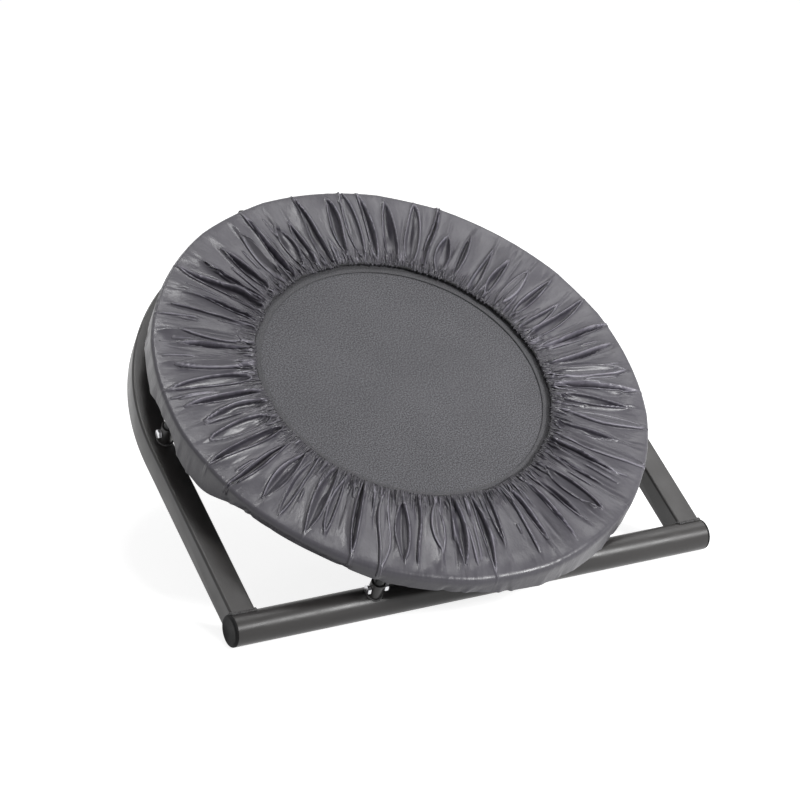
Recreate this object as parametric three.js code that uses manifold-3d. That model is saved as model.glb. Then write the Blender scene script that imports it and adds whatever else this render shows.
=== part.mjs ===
// Medicine ball rebounder: a round trampoline bolted on a leaning horseshoe of square tube.
// Millimetres, +Z up, +Y towards the rack. The front tube lies on the floor, and a bracket on the
// horseshoe's back is bolted to a rack upright. The origin is the middle of the bracket's rack face.

import * as THREE from 'three';
import { mergeVertices, toCreasedNormals } from 'three/addons/utils/BufferGeometryUtils.js';
import Module from 'manifold-3d';

const wasm = await Module();
wasm.setup();

// Lean of the horseshoe from the floor, in the place where it is used most
const lean = THREE.MathUtils.degToRad(31);

// Front tube, which rests on the floor
const frontTubeDiameter = 60;
const frontTubeWall = 3;
const frontTubePastRail = 6;
const endCapThickness = 5;
const endCapEdgeRadius = 4;
const endCapPlugDepth = 18;
const endCapPlugWall = 3;

// Horseshoe of square tube: two straight rails and a half round hoop
const frameTubeSide = 50;
const frameTubeWall = 3;
const frameTubeCornerRadius = 5;
const hoopPastSkirt = 15;

// Trampoline over the horseshoe, measured from the horseshoe's middle plane
const skirtDiameter = 1000;
const skirtTopHeight = 128;
const skirtThickness = 2;
const skirtSlack = 0.4;
const skirtBandDepth = 35;
const skirtEdgeRadius = 3;
const skirtFoldDepth = 7;
const webbingShown = 14.5;
const elasticDiameter = 4;
const rimTubeDiameter = 25;
const rimTubeWall = 1.5;

// Stand-offs: a socket welded on the horseshoe and a leg of the rim in it, left and right. Each has
// its angle round the trampoline's middle and its inset from the middle of the rim tube.
const standOffs = {
	front: { degrees: -60.45, inset: 12.66 },
	side: { degrees: 2, inset: 4.8 },
	rear: { degrees: 60, inset: 3.5 },
};
const socketDiameter = 28;
const socketWall = 3;
const socketTopHeight = 63;
const legDiameter = 21;
const legWall = 2;
const legCapThickness = 3;
const legFootHeight = 33;
const legTopDrop = 8;
const socketBoltHeight = 45;
const socketBolt = { diameter: 10, acrossFlats: 16, headHeight: 6.4, nutHeight: 8.4, tail: 2 };

// Bed: mat, webbing sewn over and under its edge, wire rings and springs
const springSpan = 112.6;
const matThickness = 1.4;
const webbingOnMat = 45;
const webbingWidth = 60;
const webbingThickness = 1.5;
const ringWireDiameter = 2.5;
const ringLength = 27;
const ringPastMat = 32;
const ringFootWidth = 24;
const ringTipWidth = 8.4;
const springCount = 30;
const springDiameter = 11;
const springWireDiameter = 2.5;
const springNeckLength = 6;
const springHookRadius = 3.2;
const springHookReach = 7;
const springRimReach = 5;
const springTipDrop = 4.5;
const springTipReach = 6;
const hookHolePlay = 0.35;

// Back pivot, between two ears on the hoop and the rack bracket
const pivotReach = 38;
const pivotBolt = { diameter: 16, acrossFlats: 24, headHeight: 10, nutHeight: 13, tail: 4 };
const pivotWasher = { diameter: 30, thickness: 3 };
const earThickness = 8;
const earNoseRadius = 20;
const earRootHeight = 44;
const sleeveDiameter = 32;
const sleeveLength = 44;
const bushWall = 2;
const bushLength = 15;
const bushFlangeDiameter = 30;
const bushFlangeThickness = 1.5;
const pivotToRack = 38;
const pivotBelowTop = 3;

// Rack bracket: a channel that fits round a rack upright
const uprightSide = 75;
const uprightPlay = 1;
const channelThickness = 5;
const channelHeight = 150;
const channelDepth = 62;
const channelNoseRadius = 20;
const rackHoleDiameter = 17;
const rackHolePitch = 76.2;
const gussetThickness = 6;
const gussetSpread = 30;
const gussetRootHeight = 90;
const gussetSetDown = 2;

// Fits
const seatGap = 0.3;
const boltPlay = 0.3;
const cutOverrun = 5;

// Facets
const tubeSegments = 24;
const hoopSteps = 24;
const rimSegments = 60;
const rimSides = 8;
const matSegments = 48;
const socketSegments = 12;
const legSegments = 12;
const fastenerSegments = 10;
const pivotSegments = 16;
const wireSides = 4;
const springSides = 6;
const foldCount = 40;
const cornerSegments = 1;
const creaseAngle = THREE.MathUtils.degToRad(35);

// Places that follow from the sizes
const frontTubeRadius = frontTubeDiameter / 2;
const skirtRadius = skirtDiameter / 2;
const frameTubeHalf = frameTubeSide / 2;
const railOffset = skirtRadius + hoopPastSkirt - frameTubeHalf;
const frontTubeLength = 2 * (railOffset + frameTubeHalf + frontTubePastRail);
const rimTubeRadius = rimTubeDiameter / 2;
const rimBoreRadius = rimTubeRadius - rimTubeWall;
const rimRadius = skirtRadius - skirtThickness - skirtSlack - rimTubeRadius;
const rimHeight = skirtTopHeight - skirtThickness - skirtSlack - rimTubeRadius;
const frontLegAngle = THREE.MathUtils.degToRad(standOffs.front.degrees);
const hoopCentreReach = -(rimRadius - standOffs.front.inset) * Math.sin(frontLegAngle);
const ringTipRadius = rimRadius - rimTubeRadius - springSpan;
const matRadius = ringTipRadius - ringPastMat;
const webbingInner = matRadius - webbingOnMat;
const hemRadius = webbingInner + webbingShown;
const elasticRadius = elasticDiameter / 2;
const pivotPlace = hoopCentreReach + railOffset + frameTubeHalf + pivotReach;
const pivotRise = channelHeight / 2 - pivotBelowTop;
const earInner = sleeveLength / 2 + bushFlangeThickness + 2 * seatGap;
const earOuter = earInner + earThickness;

const materials = {
	framePaint: new THREE.MeshStandardMaterial({ color: 0x3a3b3d, roughness: 0.5, metalness: 0.35 }),
	rimPaint: new THREE.MeshStandardMaterial({ color: 0x26272a, roughness: 0.45, metalness: 0.3 }),
	capPlastic: new THREE.MeshStandardMaterial({ color: 0x2d2e30, roughness: 0.7, metalness: 0 }),
	zincPlate: new THREE.MeshStandardMaterial({ color: 0xb9bcc0, roughness: 0.3, metalness: 0.9 }),
	springSteel: new THREE.MeshStandardMaterial({ color: 0x9a9da1, roughness: 0.35, metalness: 0.9 }),
	wovenMat: new THREE.MeshStandardMaterial({ color: 0x4c4c4e, roughness: 0.9, metalness: 0 }),
	webbing: new THREE.MeshStandardMaterial({ color: 0x2f2f32, roughness: 0.8, metalness: 0 }),
	skirtNylon: new THREE.MeshStandardMaterial({ color: 0x4a484b, roughness: 0.4, metalness: 0 }),
	bushNylon: new THREE.MeshStandardMaterial({ color: 0xd9d6cc, roughness: 0.6, metalness: 0 }),
};

// One closed skin with shared corners, no flat triangles, and its faces outwards
function closedSkin(geometry) {
	const bare = new THREE.BufferGeometry();
	bare.setAttribute('position', geometry.getAttribute('position').clone());
	if (geometry.index) bare.setIndex(geometry.index.clone());
	const merged = mergeVertices(bare);
	const corner = (index) => new THREE.Vector3().fromBufferAttribute(merged.getAttribute('position'), index);
	const kept = [];
	let volume = 0;
	for (let i = 0; i < merged.index.count; i += 3) {
		const [a, b, c] = [0, 1, 2].map((step) => merged.index.getX(i + step));
		if (a === b || b === c || c === a) continue;
		kept.push([a, b, c]);
		volume += corner(a).dot(corner(b).cross(corner(c)));
	}
	merged.setIndex(kept.flatMap(([a, b, c]) => (volume > 0 ? [a, b, c] : [a, c, b])));
	return merged;
}

function solidOf(geometry) {
	const skin = closedSkin(geometry);
	return new wasm.Manifold(new wasm.Mesh({
		numProp: 3,
		vertProperties: new Float32Array(skin.getAttribute('position').array),
		triVerts: new Uint32Array(skin.index.array),
	}));
}

function geometryOf(solid) {
	const mesh = solid.getMesh();
	const geometry = new THREE.BufferGeometry();
	geometry.setAttribute('position', new THREE.BufferAttribute(mesh.vertProperties, mesh.numProp));
	geometry.setIndex(new THREE.BufferAttribute(mesh.triVerts, 1));
	return geometry;
}

function cut(body, ...tools) {
	return geometryOf(tools.reduce((left, tool) => left.subtract(solidOf(tool)), solidOf(body)));
}

function join(...bodies) {
	return geometryOf(bodies.map(solidOf).reduce((whole, body) => whole.add(body)));
}

// Several cutting tools in one geometry
function together(geometries) {
	const positions = [];
	for (const geometry of geometries) {
		const loose = geometry.index ? geometry.toNonIndexed() : geometry;
		positions.push(...loose.getAttribute('position').array);
	}
	const whole = new THREE.BufferGeometry();
	whole.setAttribute('position', new THREE.Float32BufferAttribute(positions, 3));
	return whole;
}

function addPiece(parent, name, geometry, material) {
	const mesh = new THREE.Mesh(toCreasedNormals(closedSkin(geometry), creaseAngle), material);
	mesh.name = name;
	parent.add(mesh);
	return mesh;
}

// Bars, tubes and turned shapes start round the Z axis
function bar(radius, bottom, top, segments) {
	const geometry = new THREE.CylinderGeometry(radius, radius, top - bottom, segments);
	return geometry.rotateX(Math.PI / 2).translate(0, 0, (top + bottom) / 2);
}

function turned(profile, segments) {
	const points = profile.map(([radius, height]) => new THREE.Vector2(radius, height));
	if (profile[0][0] > 0) points.push(points[0].clone());
	return new THREE.LatheGeometry(points, segments).rotateX(Math.PI / 2);
}

function tube(outer, inner, bottom, top, segments) {
	return turned([[inner, bottom], [outer, bottom], [outer, top], [inner, top]], segments);
}

// Turns a shape from round the Z axis to round the X axis
function acrossX(geometry) {
	return geometry.rotateY(Math.PI / 2);
}

// A plate cut from an outline in Y and Z, with its middle at x
function plate(shape, thickness, x) {
	const sideways = new THREE.Matrix4().makeBasis(
		new THREE.Vector3(0, 1, 0),
		new THREE.Vector3(0, 0, 1),
		new THREE.Vector3(1, 0, 0),
	);
	const options = { depth: thickness, bevelEnabled: false, curveSegments: pivotSegments / 4 };
	return new THREE.ExtrudeGeometry(shape, options).applyMatrix4(sideways).translate(x - thickness / 2, 0, 0);
}

function roundedSquare(side, radius) {
	const half = side / 2;
	const shape = new THREE.Shape();
	for (const [x, y, start] of [[1, -1, -0.5], [1, 1, 0], [-1, 1, 0.5], [-1, -1, 1]]) {
		const from = start * Math.PI;
		shape.absarc(x * (half - radius), y * (half - radius), radius, from, from + Math.PI / 2);
	}
	return shape;
}

function square(side) {
	const half = side / 2;
	const corners = [[-half, -half], [half, -half], [half, half], [-half, half]];
	return new THREE.Shape(corners.map(([x, y]) => new THREE.Vector2(x, y)));
}

// The middle line of the horseshoe: one straight step for each rail and even steps round the hoop
class HorseshoeLine extends THREE.Curve {
	constructor(halfWidth, centre, arcSteps) {
		super();
		Object.assign(this, { halfWidth, centre, arcSteps, stations: arcSteps + 2 });
	}

	angleAt(station) {
		return (Math.PI * THREE.MathUtils.clamp(station - 1, 0, this.arcSteps)) / this.arcSteps;
	}

	getPointAt(share) {
		const station = Math.round(share * this.stations);
		const angle = this.angleAt(station);
		const onRailEnd = station === 0 || station === this.stations;
		const y = onRailEnd ? 0 : this.centre + this.halfWidth * Math.sin(angle);
		return new THREE.Vector3(this.halfWidth * Math.cos(angle), y, 0);
	}

	getTangentAt(share) {
		const angle = this.angleAt(Math.round(share * this.stations));
		return new THREE.Vector3(-Math.sin(angle), Math.cos(angle), 0);
	}
}

function horseshoe(section) {
	const line = new HorseshoeLine(railOffset, hoopCentreReach, hoopSteps);
	const options = { steps: line.stations, extrudePath: line, curveSegments: cornerSegments };
	return new THREE.ExtrudeGeometry(section, options);
}

// A wire of even thickness along straight stretches that meet in mitres
function wire(points, radius) {
	const heading = points.slice(1).map((point, i) => point.clone().sub(points[i]).normalize());
	const up = new THREE.Vector3(0, 0, 1);
	const flat = Math.abs(heading[0].dot(up)) < 0.9 ? up : new THREE.Vector3(0, 1, 0);
	const side = new THREE.Vector3().crossVectors(heading[0], flat).normalize();
	const rise = new THREE.Vector3().crossVectors(side, heading[0]);
	let ring = Array.from({ length: wireSides }, (_, k) => {
		const angle = (2 * Math.PI * k) / wireSides;
		const corner = points[0].clone().addScaledVector(side, radius * Math.cos(angle));
		return corner.addScaledVector(rise, radius * Math.sin(angle));
	});
	const corners = [...ring];
	for (let i = 1; i < points.length; i++) {
		const travel = heading[i - 1];
		const mitre = travel.clone().add(heading[Math.min(i, heading.length - 1)]);
		ring = ring.map((corner) => {
			const reach = points[i].clone().sub(corner).dot(mitre) / travel.dot(mitre);
			return corner.clone().addScaledVector(travel, reach);
		});
		corners.push(...ring);
	}
	const faces = [];
	for (let i = 0; i < points.length - 1; i++) {
		for (let k = 0; k < wireSides; k++) {
			const [a, b] = [i * wireSides + k, i * wireSides + ((k + 1) % wireSides)];
			faces.push(a, b, b + wireSides, a, b + wireSides, a + wireSides);
		}
	}
	const last = (points.length - 1) * wireSides;
	for (let k = 1; k < wireSides - 1; k++) faces.push(0, k + 1, k, last, last + k, last + k + 1);
	const geometry = new THREE.BufferGeometry().setFromPoints(corners);
	geometry.setIndex(faces);
	return geometry;
}

function hexBar(acrossFlats, bottom, top) {
	return bar(acrossFlats / Math.sqrt(3), bottom, top, 6);
}

// A bolt along Z whose head sits under zero and whose shank reaches up by the grip
function boltAndHead({ diameter, acrossFlats, headHeight }, grip) {
	const head = hexBar(acrossFlats, -headHeight, 0);
	return join(head, bar(diameter / 2, -headHeight / 2, grip, fastenerSegments));
}

function nut({ diameter, acrossFlats, nutHeight }) {
	const bore = bar(diameter / 2 + boltPlay, -cutOverrun, nutHeight + cutOverrun, fastenerSegments);
	return cut(hexBar(acrossFlats, 0, nutHeight), bore);
}

function washer({ diameter, thickness }, bolt, segments) {
	return tube(diameter / 2, bolt.diameter / 2 + boltPlay, 0, thickness, segments);
}

const rebounder = new THREE.Group();
const frame = new THREE.Group();
frame.rotation.x = lean;
frame.position.set(0, -pivotToRack - pivotPlace * Math.cos(lean), pivotRise - pivotPlace * Math.sin(lean));
rebounder.add(frame);
const trampoline = new THREE.Group();
trampoline.position.set(0, hoopCentreReach, rimHeight);
frame.add(trampoline);

const sideNames = [[-1, 'left'], [1, 'right']];

// Place of a stand-off to the side and back from the middle of the front tube
function standOffPlace(name, side) {
	const angle = THREE.MathUtils.degToRad(standOffs[name].degrees);
	const radius = rimRadius - standOffs[name].inset;
	return [side * radius * Math.cos(angle), hoopCentreReach + radius * Math.sin(angle), 0];
}

// Copies of one shape at the two places of a stand-off
function atStandOff(name, geometry) {
	return sideNames.map(([side]) => geometry.clone().translate(...standOffPlace(name, side)));
}

const socket = tube(socketDiameter / 2, socketDiameter / 2 - socketWall, 0, socketTopHeight, socketSegments);
const crossHoleRadius = socketBolt.diameter / 2 + boltPlay;
const crossHole = acrossX(bar(crossHoleRadius, -socketDiameter, socketDiameter, fastenerSegments));
crossHole.translate(0, 0, socketBoltHeight);

// Front tube with its two sockets, and its end caps
function addFrontTube() {
	const tubeEnd = frontTubeLength / 2 - endCapThickness;
	const bore = frontTubeRadius - frontTubeWall;
	const pipe = acrossX(bar(frontTubeRadius, seatGap - tubeEnd, tubeEnd - seatGap, tubeSegments));
	const pipeBore = acrossX(bar(bore, -frontTubeLength, frontTubeLength, tubeSegments));
	const welded = join(pipe, ...atStandOff('front', socket));
	const hollow = cut(welded, pipeBore, ...atStandOff('front', crossHole));
	addPiece(frame, 'front_tube', hollow, materials.framePaint);
	const plug = bore - seatGap;
	const edge = frontTubeRadius - endCapEdgeRadius;
	const softEdge = endCapEdgeRadius * (1 - Math.SQRT1_2);
	const cap = turned([
		[0, endCapThickness],
		[edge, endCapThickness],
		[frontTubeRadius - softEdge, endCapThickness - softEdge],
		[frontTubeRadius, endCapThickness - endCapEdgeRadius],
		[frontTubeRadius, 0],
		[plug, 0],
		[plug, -endCapPlugDepth],
		[plug - endCapPlugWall, -endCapPlugDepth],
		[plug - endCapPlugWall, 0],
		[0, 0],
	], tubeSegments);
	for (const [side, word] of sideNames) {
		const mesh = addPiece(frame, `end_cap_${word}`, cap, materials.capPlastic);
		mesh.rotation.y = (side * Math.PI) / 2;
		mesh.position.x = side * tubeEnd;
	}
}

// One of the two ears on the back of the hoop, which carry the pivot bolt
function earPlate(side) {
	const outline = new THREE.Shape();
	const face = pivotPlace - pivotReach;
	const half = earRootHeight / 2;
	const turn = Math.PI / 2 - Math.atan2(half - earNoseRadius, pivotReach);
	outline.moveTo(face - frameTubeHalf, -half);
	outline.lineTo(face, -half);
	outline.absarc(pivotPlace, 0, earNoseRadius, -turn, turn);
	outline.lineTo(face, half);
	outline.lineTo(face - frameTubeHalf, half);
	return plate(outline, earThickness, (side * (earInner + earOuter)) / 2);
}

// Horseshoe with its four sockets and two ears, coped to the front tube
function addHorseshoe() {
	const onHoop = ['side', 'rear'];
	const sockets = onHoop.flatMap((name) => atStandOff(name, socket));
	const crossHoles = onHoop.flatMap((name) => atStandOff(name, crossHole));
	const outside = horseshoe(roundedSquare(frameTubeSide, frameTubeCornerRadius));
	const inside = horseshoe(square(frameTubeSide - 2 * frameTubeWall));
	const pivotHoleRadius = pivotBolt.diameter / 2 + boltPlay;
	const pivotHole = acrossX(bar(pivotHoleRadius, -2 * earOuter, 2 * earOuter, pivotSegments));
	pivotHole.translate(0, pivotPlace, 0);
	const coping = acrossX(bar(frontTubeRadius + seatGap, -frontTubeLength, frontTubeLength, tubeSegments));
	const welded = join(outside, ...sockets, earPlate(-1), earPlate(1));
	const hollow = cut(welded, inside, coping, pivotHole, ...crossHoles);
	addPiece(frame, 'hoop_frame', hollow, materials.framePaint);
}

// A cross bolt and its nut through each socket and leg, with the head outwards
function addSocketFasteners() {
	const seat = socketDiameter / 2 + seatGap;
	const grip = 2 * seat + socketBolt.nutHeight + socketBolt.tail;
	const bolt = acrossX(boltAndHead(socketBolt, grip)).translate(-seat, 0, 0);
	const nutPiece = acrossX(nut(socketBolt)).translate(seat, 0, 0);
	for (const name of Object.keys(standOffs)) {
		for (const [side, word] of sideNames) {
			const pieces = [
				addPiece(frame, `socket_bolt_${name}_${word}`, bolt, materials.zincPlate),
				addPiece(frame, `socket_nut_${name}_${word}`, nutPiece, materials.zincPlate),
			];
			for (const mesh of pieces) {
				mesh.rotation.z = side > 0 ? Math.PI : 0;
				mesh.position.set(...standOffPlace(name, side));
				mesh.position.z = socketBoltHeight;
			}
		}
	}
}

// Outline of a ring's section, from the ring's middle axis, with its flats at the radius
function ringProfile(centre, radius, sides) {
	const cornerRadius = radius / Math.cos(Math.PI / sides);
	return Array.from({ length: sides }, (_, k) => {
		const angle = (2 * Math.PI * (k + 0.5)) / sides;
		return [centre + cornerRadius * Math.cos(angle), cornerRadius * Math.sin(angle)];
	});
}

function springAngle(index) {
	return (2 * Math.PI * (index + 0.5)) / springCount;
}

// Rim with a hook hole for each spring, and with its six legs
function addRimFrame() {
	const legRadius = legDiameter / 2;
	const legTop = rimHeight - legTopDrop;
	const legBore = bar(legRadius - legWall, 0, legTop - legCapThickness, legSegments);
	const leg = cut(bar(legRadius, legFootHeight, legTop, legSegments), legBore, crossHole);
	const legs = Object.keys(standOffs).flatMap((name) => atStandOff(name, leg));
	const holeRadius = springWireDiameter / 2 + hookHolePlay;
	const hole = acrossX(bar(holeRadius, rimRadius - rimTubeDiameter, rimRadius - rimTubeRadius / 2, springSides));
	const holes = Array.from({ length: springCount }, (_, k) => hole.clone().rotateZ(springAngle(k)));
	const facetTurn = Math.PI / rimSegments;
	const [outside, inside, hookHoles] = [
		turned(ringProfile(rimRadius, rimTubeRadius, rimSides), rimSegments).rotateZ(facetTurn),
		turned(ringProfile(rimRadius, rimBoreRadius, rimSides), rimSegments).rotateZ(facetTurn),
		together(holes),
	].map((geometry) => geometry.translate(0, hoopCentreReach, rimHeight));
	const welded = join(outside, ...legs);
	addPiece(frame, 'rim_frame', cut(welded, inside, hookHoles), materials.rimPaint);
}

// Spring at rest along +X, with one hook round the ring tip and one through the rim wall
function springGeometry() {
	const rimInner = rimRadius - rimTubeRadius;
	const start = ringTipRadius + springHookReach;
	const end = rimInner - springRimReach;
	const wireRadius = springWireDiameter / 2;
	const springRadius = springDiameter / 2;
	const body = acrossX(turned([
		[0, start],
		[wireRadius, start],
		[springRadius, start + springNeckLength],
		[springRadius, end - springNeckLength],
		[wireRadius, end],
		[0, end],
	], springSides));
	const hookStops = 3;
	const ringHook = [new THREE.Vector3(start + wireRadius, 0, 0)];
	for (let k = 0; k <= hookStops; k++) {
		const angle = Math.PI / 4 + (Math.PI * k) / hookStops;
		const x = ringTipRadius + springHookRadius * Math.cos(angle);
		ringHook.push(new THREE.Vector3(x, 0, springHookRadius * Math.sin(angle)));
	}
	const tip = rimRadius - rimTubeRadius + springTipReach;
	const rimHook = [
		new THREE.Vector3(end - wireRadius, 0, 0),
		new THREE.Vector3(tip, 0, 0),
		new THREE.Vector3(tip, 0, -springTipDrop),
	];
	return join(body, wire(ringHook, wireRadius), wire(rimHook, wireRadius));
}

function addSprings() {
	const geometry = springGeometry();
	for (let k = 0; k < springCount; k++) {
		const name = `spring_${String(k + 1).padStart(2, '0')}`;
		addPiece(trampoline, name, geometry, materials.springSteel).rotation.z = springAngle(k);
	}
}

// Mat, the webbing sewn over and under its edge, and the wire rings sewn in the lower strip
function addMat() {
	const matHalf = matThickness / 2;
	const mat = turned([[0, -matHalf], [matRadius, -matHalf], [matRadius, matHalf], [0, matHalf]], matSegments);
	addPiece(trampoline, 'mat', mat, materials.wovenMat);
	const outer = webbingInner + webbingWidth;
	const upperFace = ringWireDiameter / 2 + seatGap;
	const lowerFace = -matHalf - seatGap;
	const upperStrip = tube(outer, webbingInner, upperFace, upperFace + webbingThickness, matSegments);
	const lowerStrip = tube(outer, webbingInner, lowerFace - webbingThickness, lowerFace, matSegments);
	addPiece(trampoline, 'webbing_top', upperStrip, materials.webbing);
	const ringFoot = ringTipRadius - ringLength;
	const path = [
		[ringFoot, ringFootWidth / 2],
		[ringTipRadius, ringTipWidth / 2],
		[ringTipRadius, -ringTipWidth / 2],
		[ringFoot, -ringFootWidth / 2],
	].map(([x, y]) => new THREE.Vector3(x, y, 0));
	const ring = wire(path, ringWireDiameter / 2);
	const rings = Array.from({ length: springCount }, (_, k) => ring.clone().rotateZ(springAngle(k)));
	addPiece(trampoline, 'webbing_bottom', join(lowerStrip, ...rings), materials.webbing);
}

// Skirt: nylon gathered on an elastic at the opening, in folds that run out flat at the rim
const skirtRowShares = [0, 0.3, 0.7, 0.88];
const skirtFoldShares = [0.6, 1, 0.9, 0];

function skirtSection(isValley, variation) {
	const top = skirtTopHeight - rimHeight;
	const start = hemRadius + elasticDiameter + seatGap;
	const rows = skirtRowShares.map((share, k) => {
		const drop = isValley ? skirtFoldDepth * skirtFoldShares[k] * variation : 0;
		return [start + share * (skirtRadius - start), top - drop];
	});
	const bandFoot = top - skirtBandDepth;
	const outside = [
		...rows,
		[skirtRadius - skirtEdgeRadius, top],
		[skirtRadius, top - skirtEdgeRadius],
		[skirtRadius, bandFoot],
	];
	const inside = [
		[skirtRadius - skirtThickness, bandFoot],
		[skirtRadius - skirtThickness, top - skirtThickness],
		...[...rows].reverse().map(([radius, height]) => [radius, height - skirtThickness]),
	];
	return [...outside, ...inside];
}

function addSkirt() {
	const columns = 2 * foldCount;
	const corners = [];
	const faces = [];
	let rowCount = 0;
	for (let column = 0; column < columns; column++) {
		const angle = (2 * Math.PI * column) / columns;
		const unevenShare = 0.8 + 0.2 * Math.sin(column * column);
		const section = skirtSection(column % 2 === 1, unevenShare);
		rowCount = section.length;
		for (const [radius, height] of section) {
			corners.push(new THREE.Vector3(radius * Math.cos(angle), radius * Math.sin(angle), height));
		}
	}
	for (let column = 0; column < columns; column++) {
		const next = (column + 1) % columns;
		for (let row = 0; row < rowCount; row++) {
			const nextRow = (row + 1) % rowCount;
			const [a, b] = [column * rowCount + row, column * rowCount + nextRow];
			const [c, d] = [next * rowCount + nextRow, next * rowCount + row];
			faces.push(a, b, c, a, c, d);
		}
	}
	const geometry = new THREE.BufferGeometry().setFromPoints(corners);
	geometry.setIndex(faces);
	addPiece(trampoline, 'skirt', geometry, materials.skirtNylon);
	const elasticHeight = skirtTopHeight - rimHeight - skirtThickness - elasticRadius;
	const elastic = turned(ringProfile(hemRadius + elasticRadius, elasticRadius, wireSides), matSegments);
	addPiece(trampoline, 'hem_elastic', elastic.translate(0, 0, elasticHeight), materials.webbing);
}

// Pivot bolt through the ears and the bracket's sleeve, with its washers and nut
function addPivotFasteners() {
	const washerSeat = earOuter + seatGap;
	const headSeat = washerSeat + pivotWasher.thickness + seatGap;
	const grip = 2 * headSeat + pivotBolt.nutHeight + pivotBolt.tail;
	const bolt = acrossX(boltAndHead(pivotBolt, grip)).translate(-headSeat, 0, 0);
	const nutPiece = acrossX(nut(pivotBolt)).translate(headSeat, 0, 0);
	const washerPiece = acrossX(washer(pivotWasher, pivotBolt, pivotSegments));
	const pieces = [
		addPiece(frame, 'pivot_bolt', bolt, materials.zincPlate),
		addPiece(frame, 'pivot_nut', nutPiece, materials.zincPlate),
	];
	for (const [side, word] of sideNames) {
		const placed = washerPiece.clone().translate(washerSeat, 0, 0);
		const mesh = addPiece(frame, `pivot_washer_${word}`, placed, materials.zincPlate);
		mesh.rotation.z = side > 0 ? 0 : Math.PI;
		pieces.push(mesh);
	}
	for (const mesh of pieces) mesh.position.y = pivotPlace;
}

// Channel that hugs the rack upright, with its rack face at the origin
function addRackBracket() {
	const inner = uprightSide / 2 + uprightPlay;
	const outer = inner + channelThickness;
	const high = channelHeight / 2;
	const outline = new THREE.Shape();
	const noseStart = channelDepth - channelNoseRadius;
	const noseHeight = high - channelNoseRadius;
	outline.moveTo(-channelThickness, -high);
	outline.lineTo(noseStart, -high);
	outline.absarc(noseStart, -noseHeight, channelNoseRadius, -Math.PI / 2, 0);
	outline.absarc(noseStart, noseHeight, channelNoseRadius, 0, Math.PI / 2);
	outline.lineTo(-channelThickness, high);
	const block = plate(outline, 2 * outer, 0);
	const hollow = new THREE.BoxGeometry(2 * inner, channelDepth + cutOverrun, channelHeight + 2 * cutOverrun);
	hollow.translate(0, (channelDepth + cutOverrun) / 2, 0);
	const tools = [hollow];
	for (const side of [-1, 1]) {
		const z = (side * rackHolePitch) / 2;
		const round = bar(rackHoleDiameter / 2, -outer - cutOverrun, outer + cutOverrun, pivotSegments);
		tools.push(acrossX(round.clone()).translate(0, uprightSide / 2, z));
		const short = bar(rackHoleDiameter / 2, -cutOverrun, channelThickness + cutOverrun, pivotSegments);
		tools.push(short.rotateX(Math.PI / 2).translate(0, 0, z));
	}
	addPiece(rebounder, 'rack_channel', cut(block, ...tools), materials.framePaint);
}

// Sleeve on two gussets, which turns on the pivot bolt
function addBracketArm() {
	const sleeveRadius = sleeveDiameter / 2;
	const bore = pivotBolt.diameter / 2 + boltPlay + bushWall + seatGap;
	const back = -channelThickness - seatGap;
	const rootTop = channelHeight / 2 - gussetSetDown;
	const outline = new THREE.Shape();
	outline.moveTo(back, rootTop - gussetRootHeight);
	outline.lineTo(back, rootTop);
	outline.absarc(-pivotToRack, pivotRise, sleeveRadius - seatGap, Math.PI / 2, (3 * Math.PI) / 2);
	const sleeveRod = acrossX(bar(sleeveRadius, -sleeveLength / 2, sleeveLength / 2, pivotSegments));
	const gussets = [-1, 1].map((side) => plate(outline, gussetThickness, (side * gussetSpread) / 2));
	const boreBar = bar(bore, -sleeveLength, sleeveLength, pivotSegments);
	const arm = join(sleeveRod.translate(0, -pivotToRack, pivotRise), ...gussets);
	const boreTool = acrossX(boreBar).translate(0, -pivotToRack, pivotRise);
	addPiece(rebounder, 'bracket_arm', cut(arm, boreTool), materials.framePaint);
	const hole = pivotBolt.diameter / 2 + boltPlay;
	const bush = turned([
		[hole, sleeveLength / 2 - bushLength],
		[hole + bushWall, sleeveLength / 2 - bushLength],
		[hole + bushWall, sleeveLength / 2 + seatGap],
		[bushFlangeDiameter / 2, sleeveLength / 2 + seatGap],
		[bushFlangeDiameter / 2, sleeveLength / 2 + seatGap + bushFlangeThickness],
		[hole, sleeveLength / 2 + seatGap + bushFlangeThickness],
	], pivotSegments);
	for (const [side, word] of sideNames) {
		const mesh = addPiece(rebounder, `pivot_bush_${word}`, bush, materials.bushNylon);
		mesh.rotation.y = (side * Math.PI) / 2;
		mesh.position.set(0, -pivotToRack, pivotRise);
	}
}

addFrontTube();
addHorseshoe();
addRimFrame();
addSocketFasteners();
addSprings();
addMat();
addSkirt();
addPivotFasteners();
addRackBracket();
addBracketArm();

export default rebounder;
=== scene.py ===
import bpy
import numpy as np
from math import cos, pi, radians, sin, sqrt
from mathutils import Matrix, Vector


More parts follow.
